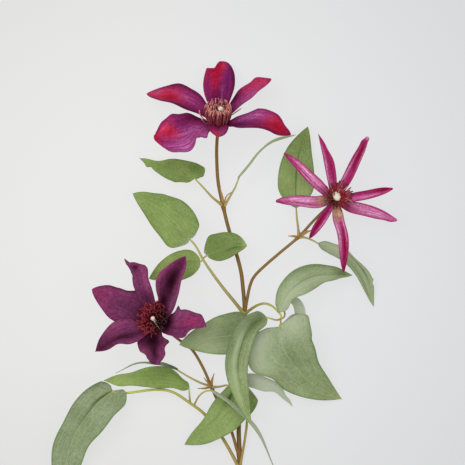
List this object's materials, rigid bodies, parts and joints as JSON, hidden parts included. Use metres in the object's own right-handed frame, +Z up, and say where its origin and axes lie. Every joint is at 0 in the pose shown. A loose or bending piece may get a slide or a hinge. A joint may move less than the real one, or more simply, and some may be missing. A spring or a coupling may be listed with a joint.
{
  "type": "clematis spray",
  "caption": "Cut clematis stem lying on its back, with stalked leaves, compound leaves and open flowers of broad and narrow tepals round a tuft of stamens.",
  "frame": {"origin": "the flat on the underside of the main stem, on the surface, where the lowest side stalks come together", "axes": "+X to the right, +Y along the main stem from its cut end to the top flower, +Z up from the surface that the spray lies on"},
  "size_m": [0.2767, 0.4, 0.0668],
  "materials": {
    "bark": "satin",
    "stalk": "satin",
    "leaf": "satin",
    "leaf_grey": "matte",
    "top_tepals": "matte",
    "right_tepals": "matte",
    "left_tepals": "matte",
    "top_stamens": "matte",
    "right_stamens": "matte",
    "left_stamens": "matte",
    "pistil": "satin"
  },
  "bodies": {
    "root": {"main_stem": "bark", "right_branch": "bark", "left_branch": "bark", "upper_stalk_left": "stalk", "upper_stalk_right": "stalk", "right_branch_stalk_up": "stalk", "right_branch_stalk_down": "stalk", "mid_left_stalk": "stalk", "mid_right_stalk": "stalk", "low_left_stalk": "stalk", "low_right_stalk": "stalk", "left_branch_stalk_left": "stalk", "left_branch_stalk_right": "stalk", "upper_leaf_left": "leaf", "upper_leaf_right": "leaf", "right_branch_leaf_up": "leaf", "mid_left_leaflet_end": "leaf", "mid_left_leaflet_low": "leaf", "mid_left_leaflet_near": "leaf", "low_left_leaflet_up": "leaf", "left_branch_leaf_left": "leaf", "left_branch_leaf_right": "leaf", "right_branch_leaf_down": "leaf_grey", "mid_right_leaflet_top": "leaf_grey", "mid_right_leaflet_back": "leaf_grey", "mid_right_leaflet_big": "leaf_grey", "mid_right_leaflet_long": "leaf_grey", "low_right_leaflet_end": "leaf_grey", "low_right_leaflet_side": "leaf_grey", "low_left_leaflet_end": "leaf_grey", "low_left_leaflet_edge": "leaf_grey", "top_flower_tepal_1": "top_tepals", "top_flower_tepal_2": "top_tepals", "top_flower_tepal_3": "top_tepals", "top_flower_tepal_4": "top_tepals", "top_flower_tepal_5": "top_tepals", "top_flower_tepal_6": "top_tepals", "right_flower_tepal_1": "right_tepals", "right_flower_tepal_2": "right_tepals", "right_flower_tepal_3": "right_tepals", "right_flower_tepal_4": "right_tepals", "right_flower_tepal_5": "right_tepals", "right_flower_tepal_6": "right_tepals", "right_flower_tepal_7": "right_tepals", "right_flower_tepal_8": "right_tepals", "left_flower_tepal_1": "left_tepals", "left_flower_tepal_2": "left_tepals", "left_flower_tepal_3": "left_tepals", "left_flower_tepal_4": "left_tepals", "left_flower_tepal_5": "left_tepals", "left_flower_tepal_6": "left_tepals", "top_flower_stamens": "top_stamens", "right_flower_stamens": "right_stamens", "left_flower_stamens": "left_stamens", "top_flower_pistil": "pistil", "right_flower_pistil": "pistil", "left_flower_pistil": "pistil"}
  },
  "joints": []
}
